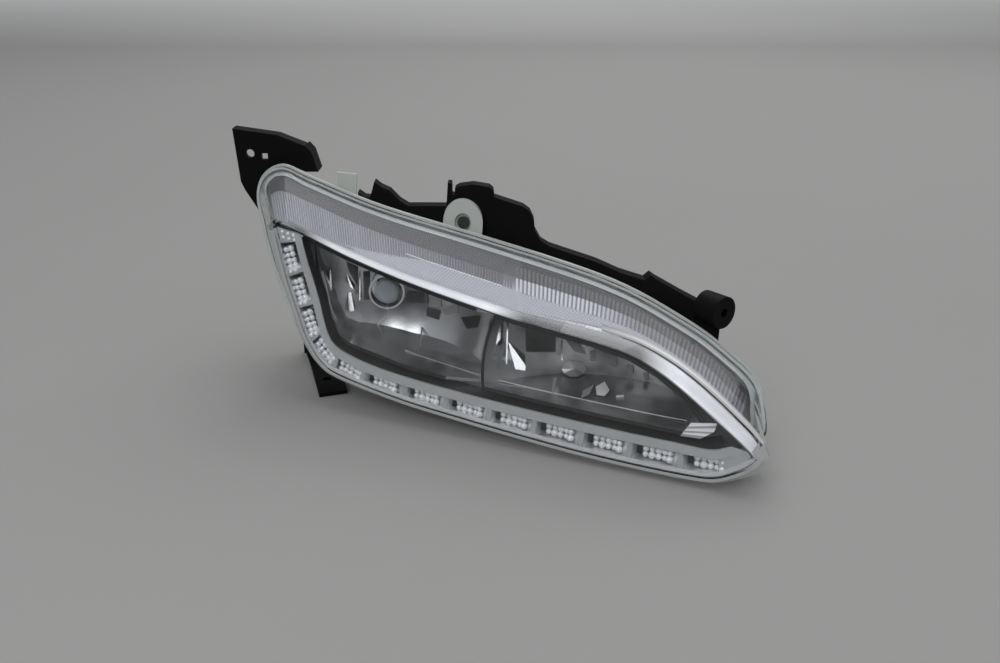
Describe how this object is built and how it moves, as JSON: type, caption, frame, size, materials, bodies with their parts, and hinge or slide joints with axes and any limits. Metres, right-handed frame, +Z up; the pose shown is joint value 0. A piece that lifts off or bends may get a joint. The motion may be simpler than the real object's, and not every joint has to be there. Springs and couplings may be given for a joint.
{
  "type": "daytime running light",
  "caption": "Wing-shaped vehicle lamp: clear lens over a chrome reflector and bulb, LED cells along two edges, grey housing and a black moulded bracket with fixing holes.",
  "frame": {"origin": "middle of the upper fixing hole, on the front face of the bracket's plate", "axes": "+X along the lamp toward its pointed end, -Y the way the light leaves, +Z up"},
  "size_m": [0.3434, 0.246, 0.1701],
  "materials": {
    "clear_lens": "clear moulded plastic",
    "seal_rubber": "matt",
    "housing_plastic": "moulded, light grey",
    "dark_bezel": "dark metallic",
    "silver_paint": "satin silver paint on plastic",
    "bright_coat": "aluminised plastic",
    "fluted_coat": "aluminised plastic, fluted",
    "board_green": "solder resist",
    "led_yellow": "phosphor",
    "steel": "plated",
    "bulb_glass": "clear",
    "dark_plastic": "moulded",
    "terminal_brass": "tinned",
    "wire_rubber": "insulation",
    "membrane_fabric": "woven",
    "bracket_plastic": "moulded, black"
  },
  "bodies": {
    "root": {"outer_lens": "clear_lens", "lens_seal": "seal_rubber", "rear_housing": "housing_plastic", "inner_bezel": "dark_bezel", "trim_strip": "silver_paint", "drl_reflector": "bright_coat", "led_board_side": "board_green", "led_board_lower": "board_green", "leds": "led_yellow", "board_link": "dark_plastic", "board_screws": "steel", "fluted_trim_left": "fluted_coat", "fluted_trim_right": "fluted_coat", "main_reflector": "bright_coat", "reflector_screws": "steel", "bulb_shield": "bright_coat", "bulb_capsule": "bulb_glass", "bulb_holder": "dark_plastic", "bulb_seal": "seal_rubber", "bulb_terminals": "terminal_brass", "drl_connector": "dark_plastic", "drl_terminals": "terminal_brass", "connector_seal": "seal_rubber", "led_harness": "wire_rubber", "vent_cap": "dark_plastic", "vent_membrane": "membrane_fabric", "mounting_bracket": "bracket_plastic", "bracket_screws": "steel"}
  },
  "joints": []
}
